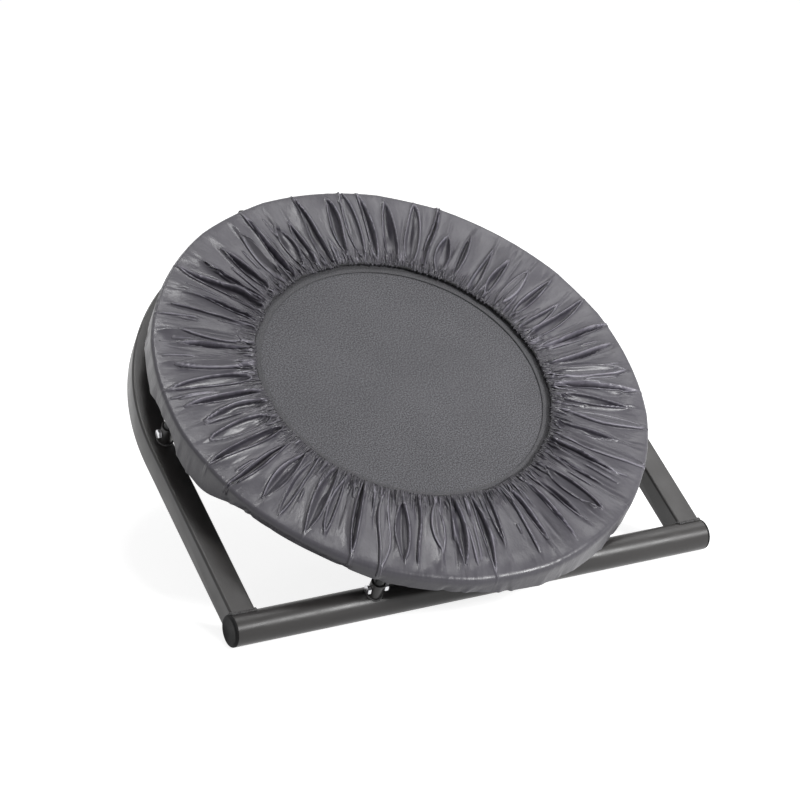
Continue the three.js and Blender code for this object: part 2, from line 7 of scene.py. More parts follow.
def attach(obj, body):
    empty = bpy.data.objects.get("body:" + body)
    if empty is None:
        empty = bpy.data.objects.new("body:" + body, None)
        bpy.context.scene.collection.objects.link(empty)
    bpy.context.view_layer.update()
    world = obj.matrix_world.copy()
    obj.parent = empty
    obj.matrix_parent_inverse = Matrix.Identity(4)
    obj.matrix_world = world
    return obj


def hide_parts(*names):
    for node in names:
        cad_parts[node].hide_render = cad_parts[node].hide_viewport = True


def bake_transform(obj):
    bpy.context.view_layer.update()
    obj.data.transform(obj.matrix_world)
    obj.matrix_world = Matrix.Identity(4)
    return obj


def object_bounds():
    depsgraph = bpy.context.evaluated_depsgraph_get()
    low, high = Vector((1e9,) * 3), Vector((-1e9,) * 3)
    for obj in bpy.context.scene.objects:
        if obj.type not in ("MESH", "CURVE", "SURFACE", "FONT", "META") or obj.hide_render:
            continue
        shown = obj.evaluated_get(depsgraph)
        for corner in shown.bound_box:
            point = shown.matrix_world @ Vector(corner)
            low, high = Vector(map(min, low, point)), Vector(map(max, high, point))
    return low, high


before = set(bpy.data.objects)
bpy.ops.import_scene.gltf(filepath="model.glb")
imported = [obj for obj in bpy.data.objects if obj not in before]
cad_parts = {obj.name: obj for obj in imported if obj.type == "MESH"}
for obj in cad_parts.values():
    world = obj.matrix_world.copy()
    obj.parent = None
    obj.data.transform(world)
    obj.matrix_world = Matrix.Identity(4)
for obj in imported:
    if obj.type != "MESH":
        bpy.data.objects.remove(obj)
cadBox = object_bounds()
print("frame loaded")


def shift(x, y, z):
    return Matrix.Translation((x, y, z))


def turned(degrees, axis):
    return Matrix.Rotation(radians(degrees), 4, axis)


def newObject(name, data):
    made = bpy.data.objects.new(name, data)
    bpy.context.scene.collection.objects.link(made)
    return made


# Places: the horseshoe leans back from the front tube, and the trampoline lies over it
places = dict(lean=31, frontTubeAt=(0, -0.8643, -0.42449), hoopCentre=0.41099, bedHeight=0.1131,
              pivotAt=(0, -0.038, 0.072))
leanPlace = shift(*places["frontTubeAt"]) @ turned(places["lean"], "X")
skirtPlace = leanPlace @ shift(0, places["hoopCentre"], 0)
bedPlace = leanPlace @ shift(0, places["hoopCentre"], places["bedHeight"])
pivotPlace = shift(*places["pivotAt"])
acrossX = turned(90, "Y")
sides = ((-1, "Left"), (1, "Right"))

# Camera: degrees to the right, down and round
view = dict(at=(-2.43275, -4.68389, 1.51075), yaw=30.5329209, pitch=19.2513819, roll=-1.615741, lens=117.47,
            sensor=36, reach=100)


def addCamera():
    camera = newObject("camera", bpy.data.cameras.new("camera"))
    camera.data.sensor_width = view["sensor"]
    camera.data.lens = view["lens"]
    camera.data.clip_end = view["reach"]
    aim = turned(-view["yaw"], "Z") @ turned(90 - view["pitch"], "X") @ turned(-view["roll"], "Z")
    camera.matrix_world = shift(*view["at"]) @ aim
    bpy.context.scene.camera = camera


addCamera()
print("camera placed")


class Graph:
    # The nodes of one material or of the world
    def __init__(self, owner):
        owner.use_nodes = True
        self.owner, self.nodes, self.links = owner, owner.node_tree.nodes, owner.node_tree.links
        self.shader = self.nodes.get("Principled BSDF")
        self.normal = None

    def feed(self, socket, value):
        # An input takes a value or another node's output
        if isinstance(value, bpy.types.NodeSocket):
            self.links.new(value, socket)
        else:
            socket.default_value = value

    def add(self, kind, inputs=(), **settings):
        node = self.nodes.new("ShaderNode" + kind)
        for name, value in settings.items():
            setattr(node, name, value)
        for key, value in dict(inputs).items():
            self.feed(node.inputs[key], value)
        return node

    def dress(self, **inputs):
        for name, value in inputs.items():
            self.feed(self.shader.inputs[name.replace("_", " ")], value)

    def combine(self, operation, a, b=0):
        return self.add("Math", {0: a, 1: b}, operation=operation).outputs[0]

    def total(self, value, *parts):
        # The value plus each part times its weight
        for part, weight in parts:
            value = self.combine("ADD", value, self.combine("MULTIPLY", part, weight))
        return value

    def coordinates(self, kind="Object", scale=(1, 1, 1)):
        source = self.add("TexCoord").outputs[kind]
        return self.add("Mapping", {"Vector": source, "Scale": scale}).outputs["Vector"]

    def noise(self, vector, scale, detail=3, rough=0.55):
        inputs = {"Vector": vector, "Scale": scale, "Detail": detail, "Roughness": rough}
        return self.add("TexNoise", inputs).outputs["Fac"]

    def ramp(self, value, *stops):
        # Each stop has its position, and a level or a colour
        node = self.add("ValToRGB", {0: value})
        elements = node.color_ramp.elements
        while len(elements) < len(stops):
            elements.new(0.5)
        for element, (position, tone) in zip(elements, stops):
            element.position = position
            element.color = (*tone, 1) if isinstance(tone, tuple) else (tone, tone, tone, 1)
        return node.outputs["Color"]

    def shades(self, value, colour, *stops):
        # The colour times the share at each stop
        return self.ramp(value, *((position, tuple(c * share for c in colour)) for position, share in stops))

    def fadeOut(self, value, start, end):
        # One up to the start, then smoothly down to zero at the end
        inputs = {"Value": value, "From Min": start, "From Max": end, "To Min": 1, "To Max": 0}
        return self.add("MapRange", inputs, interpolation_type="SMOOTHSTEP").outputs["Result"]

    def bump(self, height, strength, distance):
        # Each bump lies over the ones before
        node = self.add("Bump", {"Height": height, "Strength": strength, "Distance": distance})
        if self.normal:
            self.feed(node.inputs["Normal"], self.normal)
        self.normal = node.outputs["Normal"]
        self.dress(Normal=self.normal)


# Floor, backdrop and lights
room = dict(floorSize=60, floorMiddle=-0.5, floorColour=0.35, floorShade=0.6, floorGlow=0.83, skyLevel=0.23,
            lampAim=(0, -0.5, -0.15))
# Each lamp's place, size and power
lamps = {
    "keyLamp": ((1.7, -3.4, 1.3), 1.0, 104),
    "overheadLamp": ((2.1, -0.3, 3.2), 2.2, 34),
    "topLamp": ((0.0, -0.1, 3.4), 0.9, 34),
    "rearLamp": ((-0.5, 2.2, 2.0), 0.7, 10),
    "rightLamp": ((2.8, -0.8, 1.0), 1.0, 5),
}


def splitRays(graph, plain, seen, output):
    # Camera, glossy and transmission rays meet one shader, and the light on the object the other
    path = graph.add("LightPath").outputs
    direct = graph.combine("MAXIMUM", path["Is Camera Ray"], path["Is Glossy Ray"])
    direct = graph.combine("MAXIMUM", direct, path["Is Transmission Ray"])
    mix = graph.add("MixShader", {0: direct, 1: plain.outputs[0], 2: seen.outputs[0]})
    graph.add(output, {0: mix.outputs[0]})


def addRoom():
    bpy.ops.mesh.primitive_plane_add(size=room["floorSize"], location=(0, room["floorMiddle"], cadBox[0][2]))
    floor = bpy.context.object
    floor.name = "studioFloor"
    graph = Graph(bpy.data.materials.new("floorPaint"))
    graph.nodes.clear()
    greys = [(room[key],) * 3 + (1,) for key in ("floorColour", "floorShade")]
    plain, dim = (graph.add("BsdfDiffuse", {"Color": grey}) for grey in greys)
    glow = graph.add("Emission", {"Strength": room["floorGlow"]})
    lit = graph.add("AddShader", {0: dim.outputs[0], 1: glow.outputs[0]})
    splitRays(graph, plain, lit, "OutputMaterial")
    floor.data.materials.append(graph.owner)

    graph = Graph(bpy.data.worlds.new("studioSky"))
    graph.nodes.clear()
    levels = [{"Color": (1, 1, 1, 1), "Strength": level} for level in (room["skyLevel"], 1)]
    soft, white = (graph.add("Background", level) for level in levels)
    splitRays(graph, soft, white, "OutputWorld")
    bpy.context.scene.world = graph.owner

    for name, (at, size, power) in lamps.items():
        light = bpy.data.lights.new(name, "AREA")
        light.shape, light.size, light.energy = "DISK", size, power
        holder = newObject(name, light)
        holder.location = at
        holder.rotation_euler = (Vector(room["lampAim"]) - Vector(at)).to_track_quat("-Z", "Y").to_euler()


addRoom()
bpy.context.scene.view_settings.view_transform = "Standard"
print("room and lights ready")

# Materials: noise scales of tone, gloss and grain, and how far each goes
looks = {
    "coat": dict(tone=7, shades=(0.9, 1.1), gloss=22, spread=(-0.05, 0.07), grain=700, strength=0.12,
                 distance=0.0004),
    "metal": dict(tone=60, shades=(0.88, 1), gloss=180, spread=(-0.06, 0.1), grain=900, strength=0.08,
                  distance=0.0002, metallic=1, specular=0.5),
    "plastic": dict(tone=14, shades=(0.9, 1.1), gloss=40, spread=(-0.06, 0.08), grain=1300, strength=0.2,
                    distance=0.0003, specular=0.15),
}


def startMaterial(name, roughness, specular, metallic=0):
    graph = Graph(bpy.data.materials.new(name))
    graph.dress(Roughness=roughness, Specular_IOR_Level=specular, Metallic=metallic)
    return graph


def hardFinish(name, kind, colour, roughness, **changes):
    # Slow tone, cloudy gloss and a fine grain, and on powder coat a few rubbed spots
    look = {"metallic": 0, **looks[kind], **changes}
    graph = startMaterial(name, roughness, look["specular"], look["metallic"])
    vector = graph.coordinates()
    base = graph.shades(graph.noise(vector, look["tone"], 4), colour, *zip((0.3, 0.7), look["shades"]))
    if kind == "coat":
        rubbed = graph.ramp(graph.noise(vector, scale=95, detail=5, rough=0.7), (0.69, 0.0), (0.74, 0.35))
        worn = (*(c * 1.9 + 0.02 for c in colour), 1)
        base = graph.add("Mix", {"Factor": rubbed, 6: base, 7: worn}, data_type="RGBA").outputs[2]
    cloudy = zip((0.3, 0.7), (roughness + change for change in look["spread"]))
    graph.dress(Base_Color=base, Roughness=graph.ramp(graph.noise(vector, look["gloss"], 4), *cloudy))
    graph.bump(graph.noise(vector, look["grain"], 2), look["strength"], look["distance"])
    return graph.owner


def wovenCloth(name, colour, thread, speckle, height):
    # Over and under threads on the UV map, in metres, with lighter and darker flecks
    graph = startMaterial(name, 0.85, 0.3)
    vector = graph.coordinates("UV")
    inputs = {"Vector": vector, "Scale": 0.314 / thread, "Distortion": 0.6, "Detail Scale": 2}
    waves = [graph.add("TexWave", inputs, bands_direction=way).outputs["Fac"] for way in "XY"]
    weave = graph.combine("MULTIPLY", *waves)
    flecks = graph.noise(vector, scale=0.6 / thread, detail=2, rough=0.8)
    tone = graph.total(flecks, (weave, 0.1), (graph.noise(vector, 7), 0.08))
    graph.dress(Base_Color=graph.shades(tone, colour, (0.45, 1 - speckle), (0.69, 1 + speckle)))
    graph.bump(weave, 0.5, height)
    return graph.owner


def crinkledNylon(name, colour, roughness):
    # Thin coated nylon: soft creases along the gathers, cloudy gloss, a faint fine weave, and a painted
    # highlight on the lips of the folds
    graph = startMaterial(name, roughness, 0.6)
    graph.dress(Sheen_Weight=0.12, Sheen_Roughness=0.35)
    soft = graph.noise(graph.coordinates("UV", (1, 0.4, 1)), scale=32, rough=0.5)
    crumple = graph.noise(graph.coordinates("UV", (1, 0.7, 1)), scale=130, rough=0.6)
    fine = graph.noise(graph.coordinates("UV"), scale=1500, detail=2)
    tone = graph.noise(graph.coordinates(), scale=6)
    # The lips of the folds, from what addSkirt stores on the points: they raise bumps, and carry a painted
    # highlight in the colour
    stored = [graph.add("Attribute", attribute_name=key).outputs["Fac"] for key in ("lipGap", "lipRise")]
    lipGap, lipRise = stored
    crest = graph.combine("MULTIPLY", graph.fadeOut(graph.combine("ABSOLUTE", lipGap), 0, 0.0038), lipRise)
    # Random tone and crumple, plus the lips as a painted highlight
    toneAndLipHighlight = graph.total(graph.combine("MULTIPLY", crumple, 0.4), (tone, 0.6), (crest, 0.5))
    dark, light = (tuple(c * share for c in colour) for share in (0.84, 1.12))
    # The lightest stop is the painted highlight on the fold lips
    edge = tuple(c * 3.2 + 0.07 for c in colour)
    graph.dress(Base_Color=graph.ramp(toneAndLipHighlight, (0.35, dark), (0.65, light), (1.0, edge)),
                Roughness=graph.ramp(soft, (0.3, roughness - 0.05), (0.7, roughness + 0.08)))
    # Close gathers beside the hem
    across = graph.add("SeparateXYZ", {"Vector": graph.coordinates("UV")}).outputs["Y"]
    gathers = graph.noise(graph.coordinates("UV", (1, 0.14, 1)), scale=130, detail=2, rough=0.5)
    gathers = graph.combine("ABSOLUTE", graph.combine("SUBTRACT", gathers, 0.5))
    gathers = graph.combine("MULTIPLY", gathers, graph.fadeOut(across, 0.012, 0.07))
    for height, strength, distance in ((soft, 0.5, 0.004), (crumple, 0.4, 0.0012), (gathers, 1, 0.022),
                                       (crest, 1, 0.0042), (fine, 0.12, 0.0003)):
        graph.bump(height, strength, distance)
    return graph.owner


finishes = {
    "frame_paint": hardFinish("framePaint", "coat", (0.033, 0.0308, 0.0302), 0.33, specular=0.42),
    "rim_paint": hardFinish("rimPaint", "coat", (0.022, 0.022, 0.023), 0.4, specular=0.3),
    "weld_paint": hardFinish("weldPaint", "coat", (0.034, 0.033, 0.0335), 0.42, grain=400, specular=0.5),
    "cap_plastic": hardFinish("capPlastic", "plastic", (0.008, 0.008, 0.0085), 0.6),
    "zinc_plate": hardFinish("zincPlate", "metal", (0.78, 0.78, 0.8), 0.28),
    "spring_steel": hardFinish("springSteel", "metal", (0.62, 0.62, 0.64), 0.32),
    "woven_mat": wovenCloth("wovenMat", (0.102, 0.101, 0.109), thread=0.0016, speckle=0.62, height=0.0005),
    "webbing": wovenCloth("webbingWeave", (0.095, 0.094, 0.1), thread=0.0014, speckle=0.45, height=0.0008),
    "elastic": wovenCloth("elasticCover", (0.03, 0.03, 0.031), thread=0.001, speckle=0.25, height=0.0003),
    "thread": hardFinish("stitchThread", "plastic", (0.1, 0.1, 0.105), 0.6),
    "skirt_nylon": crinkledNylon("skirtNylon", (0.045, 0.0415, 0.0535), 0.35),
    "bush_nylon": hardFinish("bushNylon", "plastic", (0.68, 0.66, 0.6), 0.5),
}
print("materials ready")


# Modelling helpers
def selectOnly(*pieces):
    bpy.ops.object.select_all(action="DESELECT")
    for piece in pieces:
        piece.select_set(True)
    bpy.context.view_layer.objects.active = pieces[0]


def discard(*pieces):
    for piece in pieces:
        bpy.data.objects.remove(piece)


def selectAll():
    bpy.ops.mesh.select_all(action="SELECT")


def startEditing():
    bpy.ops.object.mode_set(mode="EDIT")
    selectAll()


def extrude(way):
    bpy.ops.mesh.extrude_region_move(TRANSFORM_OT_translate={"value": way})


def mergeEnds():
    selectAll()
    bpy.ops.mesh.remove_doubles(threshold=1e-6)


def endEditing():
    selectAll()
    bpy.ops.mesh.normals_make_consistent(inside=False)
    bpy.ops.object.mode_set(mode="OBJECT")


def modify(piece, kind, **settings):
    # Adds a modifier and applies it
    modifier = piece.modifiers.new(kind, kind)
    for name, value in settings.items():
        setattr(modifier, name, value)
    selectOnly(piece)
    bpy.ops.object.modifier_apply(modifier=modifier.name)
    return piece


def place(piece, name, finish, move, node, angle=35, body="frame", slot=None):
    # Puts the move in the mesh, names the piece, gives it its material, attaches it to its body and hides the
    # CAD part that it stands for
    piece.data.transform(move @ piece.matrix_world)
    piece.matrix_world = Matrix()
    piece.name = piece.data.name = name
    piece.data.materials.clear()
    piece.data.materials.append(finishes[finish])
    selectOnly(piece)
    bpy.ops.object.shade_smooth_by_angle(angle=radians(angle))
    if body:
        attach(piece, body)
    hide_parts(node)
    return piece


def copyOf(piece):
    return newObject("copy", piece.data.copy())


def placeCopy(piece, *where, **more):
    return place(copyOf(piece), *where, **more)


def placeWeld(bead, name, move, node, body="frame", slot="frame_paint"):
    return place(bead, name, "weld_paint", move, node, 60, body, slot)


def arc(start, stop, step, radius, centre):
    # Points on a circle, at even angles in degrees from start to stop
    angles = [radians(start + k * step) for k in range((stop - start) // step + 1)]
    return [(centre[0] + radius * cos(a), centre[1] + radius * sin(a)) for a in angles]


def drawLine(points, closed=False):
    # One vertex, extruded from point to point
    bpy.ops.mesh.primitive_plane_add(size=0.001)
    piece = bpy.context.object
    startEditing()
    bpy.ops.mesh.merge(type="CENTER")
    bpy.ops.transform.translate(value=points[0])
    path = list(points) + ([points[0]] if closed else [])
    for last, point in zip(path, path[1:]):
        extrude(Vector(point) - Vector(last))
    if closed:
        mergeEnds()
    selectAll()
    return piece


def spinRound(steps):
    bpy.ops.mesh.spin(steps=steps, angle=2 * pi, center=(0, 0, 0), axis=(0, 0, 1))
    mergeEnds()
    endEditing()


def turnPiece(profile, steps=64, closed=False):
    # Turns a line of (radius, height) round the Z axis
    piece = drawLine([(radius, 0, height) for radius, height in profile], closed)
    spinRound(steps)
    return piece


def cutPlate(outline, thickness, axis="X"):
    # Fills an outline and extrudes it both ways along an axis
    piece = drawLine([(0, a, b) if axis == "X" else (a, b, 0) for a, b in outline], True)
    bpy.ops.mesh.edge_face_add()
    way = Vector((axis == "X", 0, axis == "Z")) * thickness
    bpy.ops.transform.translate(value=-way / 2)
    extrude(way)
    endEditing()
    return piece


def cutWith(piece, tool, operation="DIFFERENCE"):
    modify(piece, "BOOLEAN", operation=operation, solver="EXACT", object=tool)
    discard(tool)
    return piece


def drum(faces, size, depth, at=(0, 0, 0), turn=(0, radians(90), 0)):
    bpy.ops.mesh.primitive_cylinder_add(vertices=faces, radius=size, depth=depth, rotation=turn, location=at)
    return bpy.context.object


def softenEdges(piece, width, angle=30):
    return modify(piece, "BEVEL", width=width, segments=2, limit_method="ANGLE", angle_limit=radians(angle))


def pipe(radius, wall, bottom, top, steps=48, lip=0.0006):
    # A tube round Z with slightly rounded ends
    inner = radius - wall
    return turnPiece([
        (inner, bottom + lip), (inner + lip, bottom), (radius - lip, bottom), (radius, bottom + lip),
        (radius, top - lip), (radius - lip, top), (inner + lip, top), (inner, top - lip),
    ], steps, True)


def bentWire(points, radius, closed=False, sides=2, swell=None):
    # A round wire through the points
    curve = bpy.data.curves.new("wire", "CURVE")
    curve.dimensions = "3D"
    spline = curve.splines.new("POLY")
    spline.points.add(len(points) - 1)
    for k, (point, spot) in enumerate(zip(spline.points, points)):
        point.co = (*spot, 1)
        point.radius = swell[k] if swell else 1
    spline.use_cyclic_u = closed
    curve.bevel_depth = radius
    curve.bevel_resolution = sides
    curve.use_fill_caps = not closed
    selectOnly(newObject("wire", curve))
    bpy.ops.object.convert(target="MESH")
    return bpy.context.object


def evenPoints(points, spacing, closed=False):
    # The same line with its points at even steps
    path = np.array(list(points) + ([points[0]] if closed else []))
    lengths = np.append(0, np.cumsum(np.linalg.norm(np.diff(path, axis=0), axis=1)))
    count = max(round(lengths[-1] / spacing), 3)
    reach = lengths[-1] * np.arange(count if closed else count + 1) / count
    return np.stack([np.interp(reach, lengths, values) for values in path.T], axis=1)


weld = dict(radius=0.0026, step=0.0008, ripple=0.16, pitch=0.0031)


def weldBead(points, closed=True, radius=weld["radius"]):
    line = evenPoints(points, weld["step"], closed)
    waves = max(round(weld["step"] * len(line) / weld["pitch"]), 1)
    swell = [1 + weld["ripple"] * sin(2 * pi * waves * k / len(line)) for k in range(len(line))]
    return bentWire(line, radius, closed, 1, swell)


def ringPoints(radius, height, centre=(0, 0)):
    # A circle of points whose height follows a surface
    return [(x, y, height(x, y)) for x, y in arc(0, 355, 5, radius, centre)]


# Front tube, its sockets and end caps
frontTube = dict(radius=0.03, wall=0.003, halfLength=0.5157, sides=96)
socket = dict(radius=0.014, wall=0.003, top=0.063, low=0.026, foot=0.03, sunk=0.0006)
standOffs = {"front": (0.23301, 0.0), "side": (0.48001, 0.42775), "rear": (0.2408, 0.82807)}


def standOffPlace(where, side, height=0):
    x, y = standOffs[where]
    return leanPlace @ shift(side * x, y, height)


def onFrontTube(x, y):
    return sqrt(frontTube["radius"] ** 2 - y ** 2)


def addSockets(where, foot, bead, node):
    for side, word in sides:
        name, move = where.capitalize() + word, standOffPlace(where, side)
        placeCopy(foot, "socket" + name, "frame_paint", move, node)
        placeWeld(copyOf(bead), "socketWeld" + name, move, node)


def addFrontTube():
    half = frontTube["halfLength"]
    tube = pipe(frontTube["radius"], frontTube["wall"], -half, half, frontTube["sides"])
    place(tube, "frontTube", "frame_paint", leanPlace @ acrossX, "front_tube")
    foot = pipe(socket["radius"], socket["wall"], socket["low"], socket["top"])
    for vertex in foot.data.vertices:
        if vertex.co.z < socket["foot"]:
            vertex.co.z = onFrontTube(0, vertex.co.y) - socket["sunk"]
    bead = weldBead(ringPoints(socket["radius"] + 0.0008, onFrontTube))
    addSockets("front", foot, bead, "front_tube")
    discard(foot, bead)


endCap = dict(radius=0.03, thickness=0.0053, edge=0.004, dish=0.0008, plug=0.0267, plugDepth=0.018,
              plugWall=0.004, ribs=3, ribPitch=0.005, ribDepth=0.0012, ribTop=0.003)


def addEndCaps():
    r, t, e, plug, rib = (endCap[key] for key in ("radius", "thickness", "edge", "plug", "ribDepth"))
    profile = [(0, t - endCap["dish"]), (r - 2.2 * e, t - endCap["dish"]), (r - 1.6 * e, t)]
    profile += arc(90, 0, -15, e, (r - e, t - e)) + [(r, 0.0002), (r - 0.0004, 0), (plug, 0)]
    for k in range(endCap["ribs"]):
        low = -endCap["ribTop"] - endCap["ribPitch"] * k
        profile += [(plug, low), (plug - rib, low - rib), (plug - rib, low - endCap["ribTop"])]
    inner, depth = plug - endCap["plugWall"], endCap["plugDepth"]
    cap = turnPiece(profile + [(plug - 0.001, -depth), (inner, -depth), (inner, -0.001), (0, -0.001)], 96)
    for side, word in sides:
        move = leanPlace @ shift(side * frontTube["halfLength"], 0, 0) @ turned(side * 90, "Y")
        placeCopy(cap, "endCap" + word, "cap_plastic", move, "end_cap_" + word.lower(), 30)
    discard(cap)


addFrontTube()
addEndCaps()
print("front tube done")

# Horseshoe of square tube, with sockets, ears and weld beads
hoop = dict(side=0.05, wall=0.003, corner=0.005, offset=0.49, steps=120, cope=0.0303)


def addHorseshoe():
    bpy.ops.mesh.primitive_plane_add(size=hoop["side"], location=(-hoop["offset"], 0, 0),
                                     rotation=(radians(90), 0, 0))
    tube = bpy.context.object
    bpy.ops.object.transform_apply(location=True, rotation=True, scale=True)
    startEditing()
    bpy.ops.mesh.bevel(offset=hoop["corner"], segments=6, affect="VERTICES")
    selectAll()
    bpy.ops.mesh.delete(type="ONLY_FACE")
    selectAll()
    centre = Vector((0, places["hoopCentre"], 0))
    extrude(centre)
    bpy.ops.mesh.spin(steps=hoop["steps"], angle=pi, center=centre, axis=(0, 0, 1))
    extrude(-centre)
    mergeEnds()
    endEditing()
    modify(tube, "SOLIDIFY", thickness=hoop["wall"], offset=-1)
    cutWith(tube, drum(96, hoop["cope"], 1.2))
    place(tube, "horseshoeTube", "frame_paint", leanPlace, "hoop_frame", 25)

    # Bead where each rail is coped to the front tube
    half, corner = hoop["side"] / 2, hoop["corner"]
    flat = half - corner
    outline = []
    for cx, cz, start in ((1, 1, 0), (-1, 1, 90), (-1, -1, 180), (1, -1, 270)):
        for x, z in arc(start, start + 90, 15, corner, (cx * flat, cz * flat)):
            outline.append((x * 1.02, onFrontTube(0, z) + 0.0006, z * 1.02))
    for side, word in sides:
        bead = weldBead([(side * hoop["offset"] + x, y, z) for x, y, z in outline], True, 0.0032)
        placeWeld(bead, "railWeld" + word, leanPlace, "hoop_frame")

    # Sockets
    foot = pipe(socket["radius"], socket["wall"], half - 0.0002, socket["top"])
    bead = weldBead(ringPoints(socket["radius"] + 0.0006, lambda x, y: half + 0.0003))
    for where in ("side", "rear"):
        addSockets(where, foot, bead, "hoop_frame")
    discard(foot, bead)


ear = dict(inner=0.0241, thickness=0.008, nose=0.02, root=0.044, reach=0.038, hole=0.0083, edge=0.0007)


def addEars():
    face = places["hoopCentre"] + hoop["offset"] + hoop["side"] / 2
    pivot = face + ear["reach"]
    half, thick = ear["root"] / 2, ear["thickness"] / 2
    outline = [(face - 0.0002, half), (face - 0.0002, -half)] + arc(-84, 84, 7, ear["nose"], (pivot, 0))
    plate = cutPlate(outline, ear["thickness"])
    cutWith(plate, drum(48, ear["hole"], 0.05, (0, pivot, 0)))
    softenEdges(plate, ear["edge"])
    corners = [(-thick, -half), (thick, -half), (thick, half), (-thick, half)]
    bead = weldBead([(x * 1.15, face + 0.0004, z * 1.03) for x, z in corners])
    for side, word in sides:
        move = leanPlace @ shift(side * (ear["inner"] + thick), 0, 0)
        placeCopy(plate, "pivotEar" + word, "frame_paint", move, "hoop_frame", 30)
        placeWeld(copyOf(bead), "pivotEarWeld" + word, move, "hoop_frame")
    discard(plate, bead)


addHorseshoe()
addEars()
print("horseshoe done")

# Rim of the trampoline and its legs
rim = dict(radius=0.4851, tube=0.0125, height=0.1131, steps=240, sides=28)
leg = dict(radius=0.0105, wall=0.002, foot=0.033, top=0.1051, cap=0.003, beadOut=0.0006, beadRadius=0.002,
           beadReach=0.0118)


def underRim(x, y):
    off = sqrt(x ** 2 + (y - places["hoopCentre"]) ** 2) - rim["radius"]
    off = max(min(off, leg["beadReach"]), -leg["beadReach"])
    return rim["height"] - sqrt(rim["tube"] ** 2 - off ** 2)


def addRim():
    bpy.ops.mesh.primitive_circle_add(vertices=rim["sides"], radius=rim["tube"],
                                      location=(rim["radius"], 0, 0), rotation=(radians(90), 0, 0))
    ring = bpy.context.object
    bpy.ops.object.transform_apply(location=True, rotation=True, scale=True)
    startEditing()
    spinRound(rim["steps"])
    place(ring, "rimTube", "rim_paint", bedPlace, "rim_frame", 60)

    r, foot, top = leg["radius"], leg["foot"], leg["top"]
    inner, under = r - leg["wall"], top - leg["cap"]
    post = turnPiece([(0, top), (r - 0.0015, top), (r - 0.0004, top - 0.0004), (r, top - 0.0015),
                      (r, foot + 0.0008), (r - 0.0008, foot), (inner + 0.0004, foot), (inner, foot + 0.0006),
                      (inner, under), (0, under)], 40)
    for where, (x, y) in standOffs.items():
        for side, word in sides:
            name = where.capitalize() + word
            placeCopy(post, "rimLeg" + name, "rim_paint", standOffPlace(where, side), "rim_frame", 40)
            bead = weldBead(ringPoints(r + leg["beadOut"], underRim, (side * x, y)), True, leg["beadRadius"])
            placeWeld(bead, "rimLegWeld" + name, leanPlace, "rim_frame", slot="rim_paint")
    discard(post)


addRim()
print("rim done")

# Bolts, nuts and washers
socketBolt = dict(diameter=0.01, acrossFlats=0.016, head=0.0064, nut=0.0084, tail=0.002, seat=0.0143,
                  height=0.045, pitch=0.0015)
pivotBolt = dict(diameter=0.016, acrossFlats=0.024, head=0.01, nut=0.013, tail=0.004, seat=0.0357,
                 pitch=0.002)
washer = dict(radius=0.015, bore=0.0083, thickness=0.003, seat=0.0324)


def hexBlock(acrossFlats, height, bore=0.0):
    # A hexagon with chamfered corners at one end, or at both round a bore
    corner, flat = acrossFlats / sqrt(3), acrossFlats * 0.475
    chamfer = (corner - flat) * 0.55
    high = [(corner * 1.01, height - chamfer), (flat, height)]
    if bore:
        profile = [(bore, 0.0004), (bore + 0.0004, 0), (flat, 0), (corner * 1.01, chamfer)] + high
        block = turnPiece(profile + [(bore + 0.0006, height), (bore, height - 0.0006)], 72, True)
    else:
        block = turnPiece([(0, 0), (corner * 1.01, 0)] + high + [(0, height)], 72)
    return cutWith(block, drum(6, corner, height * 1.5, (0, 0, height / 2), (0, 0, 0)), "INTERSECT")


def threadedRod(radius, bottom, threadStart, top, pitch):
    # Shank with a threaded end: plain, then grooves
    root = radius - pitch * 0.55
    profile = [(0, bottom), (radius, bottom), (radius, threadStart)]
    height = threadStart
    while height + pitch < top - pitch * 0.5:
        profile += [(root, height + pitch / 2), (radius, height + pitch)]
        height += pitch
    return turnPiece(profile + [(root, top), (0, top)], 40)


def boltPiece(sizes):
    # Along +Z with its head under the first seat
    seat, pitch = sizes["seat"], sizes["pitch"]
    head = hexBlock(sizes["acrossFlats"], sizes["head"])
    head.data.transform(shift(0, 0, -seat) @ turned(180, "X"))
    top = seat + sizes["nut"] + sizes["tail"]
    rod = threadedRod(sizes["diameter"] / 2, -seat - 0.001, seat - 3 * pitch, top, pitch)
    selectOnly(head, rod)
    bpy.ops.object.join()
    return head


def nutPiece(sizes):
    block = hexBlock(sizes["acrossFlats"], sizes["nut"], sizes["diameter"] / 2 + 0.0003)
    block.data.transform(shift(0, 0, sizes["seat"]))
    return block


def addFasteners():
    shapes = {"bolt": boltPiece(socketBolt), "nut": nutPiece(socketBolt)}
    for where, (_, y) in standOffs.items():
        for side, word in sides:
            spin = turned(-side * 90, "Y") @ turned(17 * (side + 2) + 230 * y, "Z")
            move = standOffPlace(where, side, socketBolt["height"]) @ spin
            for kind, shape in shapes.items():
                name = f"socket{kind.capitalize()}{where.capitalize()}{word}"
                placeCopy(shape, name, "zinc_plate", move, f"socket_{kind}_{where}_{word.lower()}", 30)
    discard(*shapes.values())

    move = pivotPlace @ acrossX
    place(boltPiece(pivotBolt), "pivotBolt", "zinc_plate", move, "pivot_bolt", 30)
    place(nutPiece(pivotBolt), "pivotNut", "zinc_plate", move @ turned(20, "Z"), "pivot_nut", 30)
    for side, word in sides:
        low = washer["seat"] if side > 0 else -washer["seat"] - washer["thickness"]
        wall = washer["radius"] - washer["bore"]
        disc = pipe(washer["radius"], wall, low, low + washer["thickness"], 64, 0.0004)
        place(disc, "pivotWasher" + word, "zinc_plate", move, "pivot_washer_" + word.lower(), 30)


addFasteners()
print("fasteners done")

# Rack channel, arm with the pivot sleeve, and bushes
channel = dict(inner=0.0385, thickness=0.005, depth=0.062, half=0.075, nose=0.02, bend=0.006,
               innerBend=0.002, hole=0.0085, pitch=0.0762, holeDepth=0.0375, edge=0.0007)


